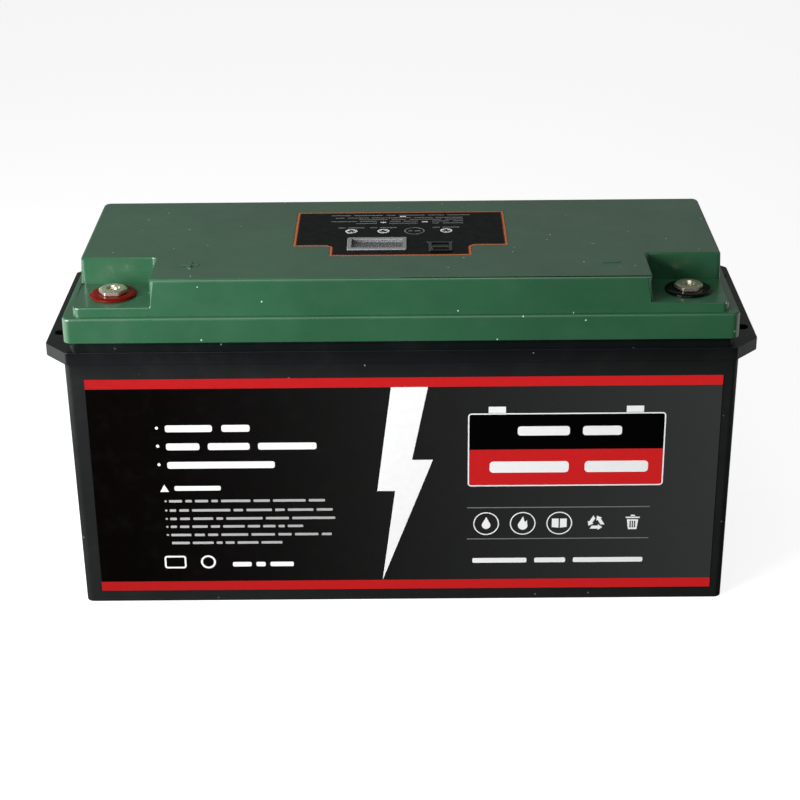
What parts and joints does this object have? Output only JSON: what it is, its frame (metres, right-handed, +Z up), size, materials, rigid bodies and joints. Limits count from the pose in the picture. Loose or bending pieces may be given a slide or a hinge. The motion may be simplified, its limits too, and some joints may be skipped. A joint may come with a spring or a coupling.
{
  "type": "deep cycle battery",
  "caption": "Deep cycle battery in a flanged rectangular case with a stepped cover, recessed corner terminals, a charge display and a rocker switch.",
  "frame": {"origin": "middle of the base, on the surface that the battery stands on", "axes": "+Z up, +X along the length towards the negative terminal, +Y to the back, away from the labelled front and the terminals"},
  "size_m": [0.485, 0.172, 0.2467],
  "materials": {
    "case_black": "satin moulded plastic",
    "cover_green": "glossy moulded plastic",
    "seal_rubber": "matte",
    "label_print": "printed polyester film",
    "terminal_red": "glossy moulded plastic",
    "terminal_black": "glossy moulded plastic",
    "plated_brass": "nickel plated",
    "plated_steel": "zinc plated",
    "tinned_copper": "tinned",
    "bezel_grey": "satin moulded plastic",
    "display_lens": "clear",
    "display_glass": "unlit liquid crystal",
    "circuit_board": "solder mask",
    "switch_black": "moulded plastic",
    "cell_film": "wrapped film",
    "fibre_board": "glass fibre board",
    "strap_green": "polyester band",
    "foam": "closed cell foam",
    "heatsink_aluminium": "bare",
    "bms_black": "satin",
    "cable_red": "silicone sheath",
    "cable_black": "silicone sheath",
    "cable_blue": "silicone sheath",
    "ribbon_grey": "ribbon cable"
  },
  "bodies": {
    "root": {"base_pad": "foam", "bms_cable": "cable_blue", "bms_case": "bms_black", "bms_heatsink": "heatsink_aluminium", "cell_1": "cell_film", "cell_2": "cell_film", "cell_3": "cell_film", "cell_4": "cell_film", "cell_nut_1_back": "plated_steel", "cell_nut_1_front": "plated_steel", "cell_nut_2_back": "plated_steel", "cell_nut_2_front": "plated_steel", "cell_nut_3_back": "plated_steel", "cell_nut_3_front": "plated_steel", "cell_nut_4_back": "plated_steel", "cell_nut_4_front": "plated_steel", "cell_spacer_1": "fibre_board", "cell_spacer_2": "fibre_board", "cell_spacer_3": "fibre_board", "container": "case_black", "cover": "cover_green", "display_bezel": "bezel_grey", "display_board": "circuit_board", "display_glass": "display_glass", "display_lead": "cable_black", "display_lens": "display_lens", "end_foam_left": "foam", "end_foam_right": "foam", "end_plate_left": "fibre_board", "end_plate_right": "fibre_board", "front_label": "label_print", "lid_seal": "seal_rubber", "negative_cable": "cable_black", "pack_lug_negative": "tinned_copper", "pack_lug_positive": "tinned_copper", "pack_strap_lower": "strap_green", "pack_strap_upper": "strap_green", "positive_cable": "cable_red", "sensing_board": "circuit_board", "sensing_ribbon": "ribbon_grey", "series_link_1": "tinned_copper", "series_link_2": "tinned_copper", "series_link_3": "tinned_copper", "switch_housing": "switch_black", "switch_lead": "cable_black", "switch_tab_front": "tinned_copper", "switch_tab_pivot": "tinned_copper", "terminal_lug_negative": "tinned_copper", "terminal_lug_positive": "tinned_copper", "terminal_nut_negative": "plated_steel", "terminal_nut_positive": "plated_steel", "terminal_post_negative": "plated_brass", "terminal_post_positive": "plated_brass", "terminal_ring_negative": "terminal_black", "terminal_ring_positive": "terminal_red", "terminal_washer_negative": "seal_rubber", "terminal_washer_positive": "seal_rubber", "top_label": "label_print"},
    "rocker": {"switch_rocker": "switch_black"},
    "contact": {"switch_contact": "tinned_copper"}
  },
  "joints": [
    {"name": "rocker_tilt", "type": "hinge", "parent": "root", "child": "rocker", "pos_m": [0.0276, -0.0211, 0.2428], "axis": [1, 0, 0], "range_deg": [0, 24]},
    {"name": "contact_tilt", "type": "hinge", "parent": "root", "child": "contact", "pos_m": [0.0276, -0.0211, 0.2323], "axis": [1, 0, 0], "range_deg": [-16, 0]}
  ],
  "couplings": [
    {"joint": "contact_tilt", "follows": "rocker_tilt", "ratio": -0.66667}
  ]
}
